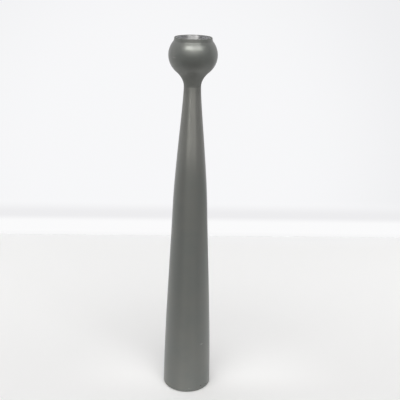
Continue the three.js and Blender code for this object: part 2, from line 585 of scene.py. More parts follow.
@dataclass(frozen=True)
class Beech(Finish):
    """Bare turned beech: pale pinkish wood with short dark flecks.

    Attributes:
        dark_colour: The colour of the late wood in a ring.
        ring_waves: How fast the rings follow each other across the wood, in radians per metre.
        ring_bend: How far they are bent, in radians.
        ring_shape: What bends them.
        ring_edge: The wave between which the late wood begins and is full.
        fleck_colour: The colour of the flecks.
        flecks: Where they lie.
        fibres: The fine fibres.
        fibre_depth: Their depth.
        tool_pitch: The distance from one line of the turning tool to the next.
        tool_depth: The depth of those lines.
    """

    name: str = "turned_beech"
    slot: str = "bare_beech"
    colour: Colour = (0.60, 0.40, 0.225)
    roughness: float = 0.72
    dark_colour: Colour = (0.44, 0.265, 0.135)
    ring_waves: float = 2600.0
    ring_bend: float = 9.0
    ring_shape: Pattern = Pattern((60.0, 60.0, 9.0), 2.0)
    ring_edge: Span = (-0.6, 1.0)
    fleck_colour: Colour = (0.27, 0.145, 0.07)
    flecks: Pattern = Pattern((1700.0, 1700.0, 330.0), 1.0, fade=(0.62, 0.7))
    fibres: Pattern = Pattern((4200.0, 4200.0, 120.0), 3.0)
    fibre_depth: float = 0.05 * MM
    tool_pitch: float = 0.55 * MM
    tool_depth: float = 0.015 * MM

    def paint(self, nodes: Nodes, shader: Node, place: Socket) -> None:
        """Adds growth rings that run along the axis, flecks, fibres and tool lines.

        Args:
            nodes: The material's tree.
            shader: The surface that takes the pattern.
            place: A point's place on the object.
        """
        x, _, z = nodes.separate(place)
        bent = self.ring_shape.at(nodes, place)
        wave = nodes.math("MULTIPLY_ADD", bent, self.ring_bend, nodes.product(x, self.ring_waves))
        late = nodes.between(nodes.math("SINE", wave), *self.ring_edge)
        colour = nodes.blend(late, self.colour, self.dark_colour)
        colour = nodes.blend(self.flecks.at(nodes, place), colour, self.fleck_colour)
        lines = nodes.math("SINE", nodes.product(z, FULL_TURN / self.tool_pitch))
        normal = nodes.bump(nodes.math("MULTIPLY_ADD", lines, 0.5, 0.5), self.tool_depth)
        normal = nodes.bump(self.fibres.at(nodes, place), self.fibre_depth, normal)
        nodes.link(shader, Base_Color=colour, Normal=normal)


class Working(Enum):
    """How the surface of a steel piece was worked, and the marks that this leaves."""

    POLISHED_TURNING = Pattern(9000.0, 3.0, 0.7)
    ROLLED = Pattern((160.0, 2400.0, 2400.0), 4.0, 0.6)
    TUMBLED = Pattern(2600.0, 3.0, 0.6)


@dataclass(frozen=True)
class Steel(Finish):
    """A steel surface.

    Attributes:
        working: How it was worked.
        anisotropy: How far its reflections are drawn out across the brushing.
        slant: How much a turned piece's marks change on the way round it.
        mark_depth: The depth of the marks.
        mark_roughness: How much the roughness differs between them.
        stain_colour: The colour of its oily or plated patches.
        stains: Where they lie.
    """

    working: Working = Working.POLISHED_TURNING
    anisotropy: float = 0.0
    slant: float = 0.0006
    mark_depth: float = 0.006 * MM
    mark_roughness: float = 0.16
    stain_colour: Colour = (0.4, 0.4, 0.4)
    stains: Pattern = Pattern(130.0, 4.0, fade=(0.4, 0.8), ends=(0.0, 0.5))

    def paint(self, nodes: Nodes, shader: Node, place: Socket) -> None:
        """Adds brushing lines or barrel marks, and a slight stain.

        Args:
            nodes: The material's tree.
            shader: The surface that takes the pattern.
            place: A point's place on the object.
        """
        shader.inputs["Metallic"].default_value = 1.0
        spot = place
        if self.working is Working.POLISHED_TURNING:
            nodes.draw_out(shader, self.anisotropy)
            angle, distance = nodes.around(place)
            spot = nodes.combine(distance, nodes.height(place), nodes.product(angle, self.slant))
        marks = self.working.value.at(nodes, spot)
        colour = nodes.blend(self.stains.at(nodes, place), self.colour, self.stain_colour)
        smooth = self.roughness - self.mark_roughness / 2.0
        gloss = nodes.math("MULTIPLY_ADD", marks, self.mark_roughness, smooth)
        nodes.link(shader, Base_Color=colour, Roughness=gloss, Normal=nodes.bump(marks, self.mark_depth))


@dataclass(frozen=True)
class Felt(Finish):
    """Pressed wool felt.

    Attributes:
        light_colour: The colour of its paler fibres.
        light: The fibres' values between which that colour begins and is full.
        along: The fibres that lie one way.
        across: The fibres that lie the other way.
        nap: How high its fibres stand.
        sheen: How strong its sheen is.
        sheen_roughness: How far that sheen is spread.
    """

    name: str = "pressed_felt"
    slot: str = "dark_felt"
    colour: Colour = (0.026, 0.027, 0.028)
    roughness: float = 1.0
    light_colour: Colour = (0.075, 0.075, 0.077)
    light: Span = (0.5, 0.85)
    along: Pattern = Pattern((900.0, 5200.0, 4000.0), 3.0, 0.7)
    across: Pattern = Pattern((5200.0, 900.0, 4000.0), 3.0, 0.7)
    nap: float = 0.12 * MM
    sheen: float = 0.4
    sheen_roughness: float = 0.6

    def paint(self, nodes: Nodes, shader: Node, place: Socket) -> None:
        """Adds matted fibres in two directions and a soft sheen.

        Args:
            nodes: The material's tree.
            shader: The surface that takes the pattern.
            place: A point's place on the object.
        """
        shader.inputs["Sheen Weight"].default_value = self.sheen
        shader.inputs["Sheen Roughness"].default_value = self.sheen_roughness
        fibres = nodes.math("MAXIMUM", self.along.at(nodes, place), self.across.at(nodes, place))
        colour = nodes.blend(nodes.between(fibres, *self.light), self.colour, self.light_colour)
        nodes.link(shader, Base_Color=colour, Normal=nodes.bump(fibres, self.nap))


class Outline:
    """The outline of a turned piece: points at a distance from the axis and at a height.

    Attributes:
        step: The longest stretch between two of its points.
        coated: Whether the next points have lacquer.
        points: Distances from the axis, and heights.
        bare: For each point, 1 where the wood has no lacquer.
    """

    def __init__(self, radius: float, height: float, step: float, coated: bool = True) -> None:
        """Starts at a point.

        Args:
            radius: The point's distance from the axis.
            height: Its height.
            step: The longest stretch between two points.
            coated: Whether it has lacquer.
        """
        self.step = step
        self.coated = coated
        self.points = [Vector((radius, height))]
        self.bare = [float(not coated)]

    def add(self, point: Vector) -> None:
        """Adds a point, unless it lies on the last one.

        Args:
            point: The point.
        """
        least_apart = 1e-3 * MM
        if (point - self.points[-1]).length > least_apart:
            self.points.append(point)
            self.bare.append(float(not self.coated))

    def path(self, *points: Flat | Vector) -> "Outline":
        """Goes straight from point to point.

        Args:
            points: The points.

        Returns:
            The outline.
        """
        for point in points:
            start, end = self.points[-1], Vector(point)
            count = max(1, math.ceil((end - start).length / self.step))
            for i in range(1, count + 1):
                self.add(start.lerp(end, i / count))
        return self

    def curve(self, leaving: Vector, arriving: Vector, end: Vector) -> "Outline":
        """Goes to a point along a Bezier curve.

        Args:
            leaving: The handle at the start.
            arriving: The handle at the end.
            end: The point at the end.

        Returns:
            The outline.
        """
        start, fewest = self.points[-1], 6
        reach = (leaving - start).length + (arriving - leaving).length + (end - arriving).length
        count = max(fewest, math.ceil(reach / self.step))
        for i in range(1, count + 1):
            t = i / count
            s = 1.0 - t
            self.add(s**3 * start + 3 * s * s * t * leaving + 3 * s * t * t * arriving + t**3 * end)
        return self

    def arc(self, centre: Vector, across: float, up: float, start: float, end: float) -> "Outline":
        """Goes straight to an ellipse and along part of it.

        Args:
            centre: The ellipse's centre.
            across: Its half width.
            up: Its half height.
            start: The first angle, in degrees from straight outwards.
            end: The last angle.

        Returns:
            The outline.
        """
        fewest, reach = 8, math.radians(abs(end - start)) * max(across, up)
        count = max(fewest, math.ceil(reach / self.step))
        for i in range(count + 1):
            angle = math.radians(start + (end - start) * i / count)
            point = centre + Vector((across * math.cos(angle), up * math.sin(angle)))
            self.path(point) if i == 0 else self.add(point)
        return self

    def corner(self, corner: Flat | Vector, rounding: float, towards: Flat | Vector) -> "Outline":
        """Goes straight to a corner and round it.

        Args:
            corner: The corner.
            rounding: How far before and after the corner the bend begins and ends.
            towards: The point that the outline goes on to.

        Returns:
            The outline.
        """
        corner, towards = Vector(corner), Vector(towards)
        start = corner + (self.points[-1] - corner).normalized() * rounding
        end = corner + (towards - corner).normalized() * rounding
        self.path(start)
        return self.curve(start.lerp(corner, ROUND_HANDLE), end.lerp(corner, ROUND_HANDLE), end)

    def chain(self, name: str) -> Piece:
        """Makes the outline an object: a chain of points whose X is the radius.

        Args:
            name: The object's name.

        Returns:
            The new object.
        """
        mesh = bpy.data.meshes.new(name)
        last = len(self.points) - 1
        mesh.from_pydata([(p.x, 0.0, p.y) for p in self.points], [(i, i + 1) for i in range(last)], [])
        mesh.attributes.new("bare", "FLOAT", "POINT").data.foreach_set("value", self.bare)
        chain = bpy.data.objects.new(name, mesh)
        bpy.context.scene.collection.objects.link(chain)
        return chain


class ShapeTree(Nodes):
    """A Geometry Nodes tree whose sizes are named inputs.

    Attributes:
        identifiers: The identifier of each input's socket, by the input's name.
        entry: The node that gives the inputs' values.
    """

    def __init__(self, name: str) -> None:
        """Starts an empty tree.

        Args:
            name: What the tree makes.
        """
        super().__init__(bpy.data.node_groups.new(name, "GeometryNodeTree"))
        self.identifiers: dict[str, str] = {}
        self.entry = self.tree.nodes.new("NodeGroupInput")
        self.tree.interface.new_socket("Geometry", in_out="OUTPUT", socket_type=GEOMETRY)

    def input(self, name: str, kind: str) -> Socket:
        """Adds a named input.

        Args:
            name: The input's name.
            kind: The type of its socket.

        Returns:
            The socket that gives its value inside the tree.
        """
        item = self.tree.interface.new_socket(name, in_out="INPUT", socket_type=kind)
        self.identifiers[name] = item.identifier
        return self.entry.outputs[name]

    def numbers(self, *names: str) -> list[Socket]:
        """Adds inputs that are numbers, and returns their sockets."""
        return [self.input(name, NUMBER) for name in names]

    def close(
        self, geometry: Socket, skin: Socket, bare: Socket | None = None, inner: Socket | None = None
    ) -> None:
        """Ends the tree.

        Args:
            geometry: What it has made.
            skin: The material of the whole surface.
            bare: Where another material shows, if one does.
            inner: That other material.
        """
        solid = self.add("GeometryNodeRealizeInstances", {"Geometry": geometry}).outputs[0]
        solid = self.add("GeometryNodeSetMaterial", {"Geometry": solid, "Material": skin}).outputs[0]
        if bare is not None:
            inputs = {"Geometry": solid, "Selection": bare, "Material": inner}
            solid = self.add("GeometryNodeSetMaterial", inputs).outputs[0]
        self.add("NodeGroupOutput", {"Geometry": solid})

    def bake(self, chain: Piece, **values: Any) -> Piece:
        """Runs the tree on an object and keeps the result as its plain mesh.

        Args:
            chain: The object.
            values: The inputs' values, by their names in small letters, with _ for a space.

        Returns:
            The same object, without a modifier.
        """
        modifier = chain.modifiers.new(self.tree.name, "NODES")
        modifier.node_group = self.tree
        for name, identifier in self.identifiers.items():
            key = name.lower().replace(" ", "_")
            if key in values:
                modifier[identifier] = values[key]
        graph = bpy.context.evaluated_depsgraph_get()
        made = chain.evaluated_get(graph)
        mesh = bpy.data.meshes.new_from_object(made, preserve_all_data_layers=True, depsgraph=graph)
        mesh.name = chain.name
        chain.modifiers.clear()
        chain.data = mesh
        return chain


class TurningTree(ShapeTree):
    """A tree that bends a grid of sides by outline points round the Z axis.

    Attributes:
        outline: The outline, whose X is the radius.
        weld: How close two points are to become one.
        crease: The angle above which an edge is sharp.
        skin: The material of the outside.
        grid: The flat grid.
        row: The number of the outline's point that a grid point stands for.
        spot: A point's place.
        radius: The radius of that outline point.
        rise: Its height.
        turn: How far round the axis a grid point comes, in radians.
    """

    def __init__(self, name: str) -> None:
        """Adds the inputs that every turned piece has, and the flat grid.

        Args:
            name: What the tree makes.
        """
        super().__init__(name)
        self.outline = self.input("Outline", GEOMETRY)
        sides = self.input("Sides", WHOLE)
        self.weld = self.input("Weld", NUMBER)
        self.crease = self.input("Crease", NUMBER)
        self.skin = self.input("Skin", MATERIAL)
        size = self.add("GeometryNodeAttributeDomainSize", {0: self.outline}, component="MESH")
        rows = size.outputs["Point Count"]
        inputs = {"Vertices X": self.whole("ADD", sides, 1), "Vertices Y": rows}
        self.grid = self.add("GeometryNodeMeshGrid", inputs).outputs["Mesh"]
        index = self.add("GeometryNodeInputIndex").outputs[0]
        self.row = self.whole("MODULO", index, rows)
        self.spot = self.add("GeometryNodeInputPosition").outputs[0]
        self.radius, _, self.rise = self.separate(self.sample("FLOAT_VECTOR", self.spot))
        column = self.whole("DIVIDE_FLOOR", index, rows)
        self.turn = self.product(self.math("DIVIDE", column, sides), FULL_TURN)

    def bend(self, radius: Socket) -> Socket:
        """Bends the grid round the axis.

        Args:
            radius: How far from the axis each point comes.

        Returns:
            The bent grid.
        """
        x, y = (self.product(radius, self.math(swing, self.turn)) for swing in ("COSINE", "SINE"))
        inputs = {"Geometry": self.grid, "Position": self.combine(x, y, self.rise)}
        return self.add("GeometryNodeSetPosition", inputs).outputs[0]

    def welded(self, geometry: Socket) -> Socket:
        """Returns a geometry with its seam and its poles closed."""
        inputs = {"Geometry": geometry, "Distance": self.weld}
        return self.add("GeometryNodeMergeByDistance", inputs).outputs[0]

    def smoothed(self, geometry: Socket) -> Socket:
        """Shades a geometry smoothly between its sharp edges.

        Args:
            geometry: The geometry.

        Returns:
            The shaded geometry.
        """
        inputs = {"Geometry": geometry, "Shade Smooth": True}
        smooth = self.add("GeometryNodeSetShadeSmooth", inputs, domain="FACE").outputs[0]
        angle = self.add("GeometryNodeInputMeshEdgeAngle").outputs[0]
        sharp = self.math("GREATER_THAN", angle, self.crease)
        inputs = {"Geometry": smooth, "Selection": sharp, "Shade Smooth": False}
        return self.add("GeometryNodeSetShadeSmooth", inputs, domain="EDGE").outputs[0]

    def whole(self, operation: str, first: Any, second: Any) -> Socket:
        """Returns the result of a sum on whole numbers."""
        return self.add("FunctionNodeIntegerMath", {0: first, 1: second}, operation=operation).outputs[0]

    def sample(self, kind: str, value: Socket) -> Socket:
        """Returns a value of the outline's point that a grid point stands for."""
        inputs = {"Geometry": self.outline, "Value": value, "Index": self.row}
        return self.add("GeometryNodeSampleIndex", inputs, data_type=kind, domain="POINT").outputs[0]

    def named(self, attribute: str) -> Socket:
        """Returns the value of a named attribute."""
        inputs = {"Name": attribute}
        return self.add("GeometryNodeInputNamedAttribute", inputs, data_type="FLOAT").outputs[0]


class Lathe(TurningTree):
    """Turns an outline about the Z axis, with flutes if it is given some."""

    def __init__(self) -> None:
        """Builds the tree: flutes, the bare places, the weld and a slight unevenness."""
        super().__init__("Turned solid")
        flutes, flute_depth = self.numbers("Flutes", "Flute depth")
        ripple, ripple_scale = self.numbers("Ripple height", "Ripple scale")
        inner = self.input("Bare wood", MATERIAL)
        bare_above = 0.6

        swing = self.math("COSINE", self.product(self.turn, flutes))
        wave = self.math("SUBTRACT", 0.5, self.product(swing, 0.5))
        cut = self.product(self.math("POWER", wave, 2.0), flute_depth)
        bent = self.bend(self.math("MAXIMUM", self.math("SUBTRACT", self.radius, cut), 0.0))

        inputs = {"Geometry": bent, "Name": "bare_wood", "Value": self.sample("FLOAT", self.named("bare"))}
        flagged = self.add("GeometryNodeStoreNamedAttribute", inputs, data_type="FLOAT", domain="POINT")
        welded = self.welded(flagged.outputs[0])

        lumps = self.math("SUBTRACT", self.noise(self.spot, ripple_scale, 1.0), 0.5)
        normal = self.add("GeometryNodeInputNormal").outputs[0]
        push = self.vector_math("MULTIPLY", normal, self.product(lumps, ripple))
        rippled = self.add("GeometryNodeSetPosition", {"Geometry": welded, "Offset": push}).outputs[0]
        bare = self.math("GREATER_THAN", self.named("bare_wood"), bare_above)
        self.close(self.smoothed(rippled), self.skin, bare, inner)


class ScrewCutter(TurningTree):
    """Turns a wood screw, cuts its thread and presses a cross into its head."""

    def __init__(self) -> None:
        """Builds the tree: the thread's ridge on the shank, and the cross in the head's face."""
        super().__init__("Wood screw")
        depth = self.input("Thread depth", NUMBER)
        bent = self.bend(self.math("MULTIPLY_ADD", self.thread(), depth, self.radius))
        inputs = {"Geometry": self.welded(bent), "Offset": self.combine(0.0, 0.0, self.cross())}
        pressed = self.add("GeometryNodeSetPosition", inputs).outputs[0]
        self.close(self.smoothed(pressed), self.skin)

    def thread(self) -> Socket:
        """Winds a ridge round the shank.

        Returns:
            The ridge's height at a grid point, from 0 to 1.
        """
        start, end, run_out, point, pitch, steepness = self.numbers(
            "Thread start", "Thread end", "Run out", "Point length", "Pitch", "Steepness"
        )
        round_axis = self.math("DIVIDE", self.turn, FULL_TURN)
        turns = self.math("SUBTRACT", self.math("DIVIDE", self.rise, pitch), round_axis)
        apart = self.math("ABSOLUTE", self.math("SUBTRACT", self.math("FRACT", turns), 0.5))
        ridge = self.math("MAXIMUM", self.math("SUBTRACT", 1.0, self.product(apart, steepness)), 0.0)
        begun = self.between(self.rise, start, self.math("ADD", start, run_out))
        left = self.between(self.rise, end, self.math("SUBTRACT", end, point))
        return self.product(begun, left, ridge)

    def cross(self) -> Socket:
        """Presses a cross into the head's face.

        Returns:
            How far a point is pressed in.
        """
        face, width, span, depth, slope = self.numbers(
            "Face height", "Cross width", "Cross span", "Cross depth", "Cross slope"
        )
        face_slack, full_share = 0.01 * MM, 0.55
        x, y, z = self.separate(self.spot)
        across, along = self.math("ABSOLUTE", x), self.math("ABSOLUTE", y)
        half_width, half_span = self.product(width, 0.5), self.product(span, 0.5)
        arms = []
        for beside, outwards in ((across, along), (along, across)):
            narrow = self.between(beside, half_width, self.math("SUBTRACT", half_width, slope))
            short = self.between(outwards, half_span, self.product(half_span, full_share))
            arms.append(self.product(narrow, short))
        off_face = self.math("ABSOLUTE", self.math("SUBTRACT", z, face))
        on_face = self.math("LESS_THAN", off_face, face_slack)
        return self.product(self.math("MAXIMUM", *arms), on_face, depth)


@dataclass
class Workshop:
    """The wood, and the trees that make the pieces.

    Attributes:
        beech: The wood inside.
        lathe: Turns outlines.
        screw_cutter: Makes screws.
        weld: How close two points are to become one.
        crease: The angle above which an edge is sharp.
        ripple_scale: Lumps per metre, where a turned piece is slightly uneven.
    """

    beech: Beech = Beech()
    lathe: Lathe = field(default_factory=Lathe)
    screw_cutter: ScrewCutter = field(default_factory=ScrewCutter)
    weld: float = 5e-4 * MM
    crease: float = math.radians(38.0)
    ripple_scale: float = 120.0

    def turned(
        self, outline: Outline, name: str, finish: Finish, sides: int = 192, **sizes: float
    ) -> Piece:
        """Turns an outline and gives it a finish.

        Args:
            outline: The outline.
            name: The piece's name.
            finish: What its outside is made of.
            sides: How many sides it has.
            sizes: Further inputs of the lathe.

        Returns:
            The piece.
        """
        wood, scale = self.beech.material(), self.ripple_scale
        return self.made(
            self.lathe, outline, name, finish, sides=sides, bare_wood=wood, ripple_scale=scale, **sizes
        )

    def made(
        self, tree: TurningTree, outline: Outline, name: str, finish: Finish, **values: Any
    ) -> Piece:
        """Runs a tree on an outline and gives the result a finish.

        Args:
            tree: The tree.
            outline: The outline.
            name: The piece's name.
            finish: What its outside is made of.
            values: The tree's own inputs.

        Returns:
            The piece.
        """
        shared = {"weld": self.weld, "crease": self.crease, "skin": finish.material()}
        piece = tree.bake(outline.chain(name), **shared, **values)
        return piece


def seat(piece: Piece, body: str, node: str) -> Piece:
    """Puts a piece on a body in a solid's place.

    Args:
        piece: The piece.
        body: The body that it moves with.
        node: The solid that it takes the place of.

    Returns:
        The piece.
    """
    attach(piece, body)
    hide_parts(node)
    return piece


@dataclass
class Column:
    """The turned column, with the dowel that stands in its neck.

    Attributes:
        shop: The wood and the trees.
        lacquer: Its lacquer, which was rubbed down on the lathe.
        foot_radius: The radius at the foot.
        bottom: The height of the wood above the table.
        neck_height: Where the bowl stands on it.
        middle_height: The height between its two curves.
        middle_radius: The radius there.
        neck_radius: The radius at the neck.
        foot_slope: How much the radius shrinks for each length of height at the foot.
        middle_slope: The same at the middle.
        neck_ease: How far below the neck the column turns upright.
        foot_bevel: The bevel round the foot.
        edge: The rounding that lacquer leaves on an edge.
        play: The room round what is let into the column.
        pilot_radius: The radius of the hole for the screw.
        ripple: How uneven the column is.
        step: The longest stretch between two points of its outline.
        dowel_bevel: How much narrower the dowel is at its ends.
        dowel_drop: The height of its bevels.
        dowel_step: The longest stretch between two points of its outline.
        flutes: How many flutes it has.
        flute_depth: Their depth.
    """

    shop: Workshop
    lacquer: Lacquer = Lacquer(
        name="satin_grey_lacquer_rubbed", rubbing=Rubbing(),
        unevenness=0.004, peel_depth=0.001 * MM, pore_depth=0.002 * MM,
    )
    foot_radius: float = field(default_factory=lambda: high("stem").x)
    bottom: float = field(default_factory=lambda: low("stem").z)
    neck_height: float = field(default_factory=lambda: high("stem").z)
    middle_height: float = 212.0 * MM
    middle_radius: float = 18.1 * MM
    neck_radius: float = 8.6 * MM
    foot_slope: float = 0.006
    middle_slope: float = 0.037
    neck_ease: float = 16.5 * MM
    foot_bevel: float = 0.6 * MM
    edge: float = 0.2 * MM
    play: float = 0.3 * MM
    pilot_radius: float = 2.3 * MM
    ripple: float = 0.02 * MM
    step: float = 2.0 * MM
    dowel_bevel: float = 0.5 * MM
    dowel_drop: float = 1.0 * MM
    dowel_step: float = 0.5 * MM
    flutes: float = 12.0
    flute_depth: float = 0.35 * MM

    def build(self) -> list[Piece]:
        """Makes the column and its dowel.

        Returns:
            The two pieces.
        """
        stem = self.shop.turned(self.stem_outline(), "stem_turned", self.lacquer, ripple_height=self.ripple)
        return [seat(stem, "stand", "stem"), self.dowel()]

    def stem_outline(self) -> Outline:
        """Draws the column, from the top of the screw's hole round to the dowel's hole.

        Returns:
            The outline.
        """
        pilot_top, weight_top, pad_top = (
            high(node).z for node in ("weight_screw", "base_weight", "base_pad")
        )
        pilot_top += self.play
        pocket, recess, hole = (
            high(node).x + self.play for node in ("base_weight", "base_pad", "neck_dowel")
        )
        hole_bottom = low("neck_dowel").z - self.play
        bevel = Vector((self.foot_radius - self.foot_bevel, self.bottom))
        foot = Vector((self.foot_radius, self.bottom + self.foot_bevel))
        middle = Vector((self.middle_radius, self.middle_height))
        neck = Vector((self.neck_radius, self.neck_height))
        lower_third, upper_third = middle.y / 3.0, (neck.y - middle.y) / 3.0
        leaving = Vector((self.foot_radius - self.foot_slope * lower_third, lower_third))
        below = middle + Vector((self.middle_slope * lower_third, -lower_third))
        above = middle + Vector((-self.middle_slope * upper_third, upper_third))

        outline = Outline(0.0, pilot_top, self.step, coated=False)
        outline.path((self.pilot_radius, pilot_top), (self.pilot_radius, weight_top))
        outline.path((pocket, weight_top), (pocket, pad_top), (recess, pad_top))
        outline.path((recess, self.bottom + self.edge))
        outline.coated = True
        outline.corner((recess, self.bottom), self.edge, bevel)
        outline.corner(bevel, self.edge, foot).corner(foot, self.edge, leaving)
        outline.curve(leaving, below, middle)
        outline.curve(above, neck - Vector((0.0, self.neck_ease)), neck)
        outline.coated = False
        return outline.path((hole, self.neck_height), (hole, hole_bottom), (0.0, hole_bottom))

    def dowel(self) -> Piece:
        """Makes the fluted dowel.

        Returns:
            The dowel.
        """
        bottom, top, radius = low("neck_dowel").z, high("neck_dowel").z, high("neck_dowel").x
        end_radius = radius - self.dowel_bevel
        outline = Outline(0.0, bottom, self.dowel_step)
        outline.path((end_radius, bottom), (radius, bottom + self.dowel_drop))
        outline.path((radius, top - self.dowel_drop), (end_radius, top), (0.0, top))
        flutes = {"flutes": self.flutes, "flute_depth": self.flute_depth}
        piece = self.shop.turned(outline, "neck_dowel_fluted", self.shop.beech, sides=144, **flutes)
        return seat(piece, "stand", "neck_dowel")


@dataclass
class Head:
    """The round bowl, with the loose steel cup in it.

    Attributes:
        shop: The wood and the trees.
        lacquer: The bowl's lacquer.
        steel: What the cup is made of.
        top: The height of the lip.
        neck_height: Where the bowl stands on the column.
        neck_radius: Its radius there.
        ball_drop: How far the ball's centre lies below the lip.
        ball_radius: The ball's half width.
        ball_half_height: The ball's half height.
        join_angle: Where the neck's curve meets the ball, in degrees from straight outwards.
        ball_ease: How far below there the curve still runs towards the ball's own line.
        neck_ease: How far above the neck it still runs upright.
        collar_radius: The outer radius at the foot of the collar round the mouth.
        collar_lean: How much narrower the collar is at its lip.
        collar_fillet: The lacquer's rounding in the corner under the collar.
        mouth_radius: The inner radius of the mouth.
        lip_rounding: The rounding of the lip's outer edge.
        mouth_rounding: The rounding of its inner edge.
        coated_depth: How far into the mouth the lacquer reaches.
        sheet: The thickness of the cup's sheet.
        play: The room round the cup and the dowel.
        under_cup: The room under the cup.
        dish_depth: The depth of the wax dish.
        dish_corner: The inner rounding of its corner.
        socket_radius: The inner radius of the candle's socket.
        socket_shoulder: The rounding between dish and socket, on the inside.
        socket_corner: The inner rounding at the socket's floor.
        ripple: How uneven the bowl is.
        bowl_step: The longest stretch between two points of its outline.
        cup_step: The same on the cup.
    """

    shop: Workshop
    lacquer: Lacquer = Lacquer()
    steel: Steel = Steel(
        name="brushed_stainless", slot="stainless_steel", colour=(0.63, 0.63, 0.645), roughness=0.52,
        working=Working.POLISHED_TURNING, anisotropy=1.0, stain_colour=(0.57, 0.57, 0.58),
    )
    top: float = field(default_factory=lambda: high("bowl").z)
    neck_height: float = field(default_factory=lambda: low("bowl").z)
    neck_radius: float = 8.6 * MM
    ball_drop: float = 17.25 * MM
    ball_radius: float = 24.25 * MM
    ball_half_height: float = 22.2 * MM
    join_angle: float = -47.7
    ball_ease: float = 3.2 * MM
    neck_ease: float = 6.8 * MM
    collar_radius: float = 19.15 * MM
    collar_lean: float = 0.6 * MM
    collar_fillet: float = 0.45 * MM
    mouth_radius: float = 16.95 * MM
    lip_rounding: float = 0.5 * MM
    mouth_rounding: float = 0.2 * MM
    coated_depth: float = 3.0 * MM
    sheet: float = 0.75 * MM
    play: float = 0.3 * MM
    under_cup: float = 0.5 * MM
    dish_depth: float = 10.0 * MM
    dish_corner: float = 1.5 * MM
    socket_radius: float = 11.25 * MM
    socket_shoulder: float = 1.5 * MM
    socket_corner: float = 2.0 * MM
    ripple: float = 0.03 * MM
    bowl_step: float = 0.45 * MM
    cup_step: float = 0.6 * MM

    def build(self) -> list[Piece]:
        """Makes the bowl and the cup.

        Returns:
            The two pieces.
        """
        bowl = self.shop.turned(
            self.bowl_outline(), "bowl_turned", self.lacquer, sides=240, ripple_height=self.ripple
        )
        cup = self.shop.turned(self.cup_outline(), "candle_cup_drawn", self.steel)
        return [seat(bowl, "stand", "bowl"), seat(cup, "cup", "candle_cup")]

    def bowl_outline(self) -> Outline:
        """Draws the bowl, from the top of the dowel's hole round to the floor of its bore.

        Returns:
            The outline.
        """
        hole, hole_top = high("neck_dowel").x + self.play, high("neck_dowel").z + self.play
        floor = high("candle_cup").z - self.dish_depth - self.sheet
        bore = self.socket_radius + self.sheet + self.play
        bore_bottom = low("candle_cup").z - self.under_cup
        bevel = self.socket_shoulder - self.sheet + self.play / 2.0
        mouth = self.mouth_radius

        outline = Outline(0.0, hole_top, self.bowl_step, coated=False)
        outline.path((hole, hole_top), (hole, self.neck_height), (self.neck_radius, self.neck_height))
        outline.coated = True
        self.draw_ball(outline)
        self.draw_collar(outline)
        outline.corner((mouth, self.top), self.mouth_rounding, (mouth, floor))
        outline.path((mouth, self.top - self.coated_depth))
        outline.coated = False
        outline.path((mouth, floor), (bore + bevel, floor), (bore, floor - bevel))
        return outline.path((bore, bore_bottom), (0.0, bore_bottom))

    def on_ball(self, angle: float) -> Vector:
        """Returns the point of the ball at an angle, in radians from straight outwards."""
        centre = Vector((0.0, self.top - self.ball_drop))
        return centre + Vector((self.ball_radius * math.cos(angle), self.ball_half_height * math.sin(angle)))

    def collar_angle(self) -> float:
        """Returns the angle at which the collar stands on the ball, in radians."""
        return math.acos(self.collar_radius / self.ball_radius)

    def draw_ball(self, outline: Outline) -> None:
        """Draws the bowl's neck and ball, as far as the collar.

        Args:
            outline: The outline so far, which ends on the neck.
        """
        centre = Vector((0.0, self.top - self.ball_drop))
        join = math.radians(self.join_angle)
        landing = self.on_ball(join)
        swing = Vector((-self.ball_radius * math.sin(join), self.ball_half_height * math.cos(join)))
        upright = Vector((self.neck_radius, self.neck_height + self.neck_ease))
        outline.curve(upright, landing - swing.normalized() * self.ball_ease, landing)
        stop = math.degrees(self.collar_angle() - self.collar_fillet / self.ball_radius)
        outline.arc(centre, self.ball_radius, self.ball_half_height, self.join_angle, stop)

    def draw_collar(self, outline: Outline) -> None:
        """Draws the fillet under the collar, its wall and the outer edge of the lip.

        Args:
            outline: The outline so far, which ends on the ball.
        """
        lip, foot = self.lip_rounding, self.on_ball(self.collar_angle())
        lip_centre = Vector((self.collar_radius - self.collar_lean - lip, self.top - lip))
        upwards = (lip_centre + Vector((lip, 0.0)) - foot).normalized()
        wall = foot + upwards * self.collar_fillet
        leaving, arriving = (point.lerp(foot, ROUND_HANDLE) for point in (outline.points[-1], wall))
        outline.curve(leaving, arriving, wall)
        outline.arc(lip_centre, lip, lip, 0.0, 90.0)

    def cup_outline(self) -> Outline:
        """Draws the cup: up its outside, round its rim and down its inside.

        Returns:
            The outline.
        """
        bottom, top = low("candle_cup").z, high("candle_cup").z
        sheet, half_sheet = self.sheet, self.sheet / 2.0
        socket_floor, dish_floor = bottom + sheet, top - self.dish_depth
        dish_radius = self.mouth_radius - self.play - sheet
        foot = Vector((self.socket_radius - self.socket_corner, socket_floor + self.socket_corner))
        shoulder = Vector((self.socket_radius + self.socket_shoulder, dish_floor - self.socket_shoulder))
        dish = Vector((dish_radius - self.dish_corner, dish_floor + self.dish_corner))
        rim = Vector((dish_radius + half_sheet, top - half_sheet))
        outline = Outline(0.0, bottom, self.cup_step)
        for centre, radius, start, end in (
            (foot, self.socket_corner + sheet, -90.0, 0.0),
            (shoulder, self.socket_shoulder - sheet, 180.0, 90.0),
            (dish, self.dish_corner + sheet, -90.0, 0.0),
            (rim, half_sheet, 0.0, 180.0),
            (dish, self.dish_corner, 0.0, -90.0),
            (shoulder, self.socket_shoulder, 90.0, 180.0),
            (foot, self.socket_corner, 0.0, -90.0),
        ):
            outline.arc(centre, radius, radius, start, end)
        return outline.path((0.0, socket_floor))


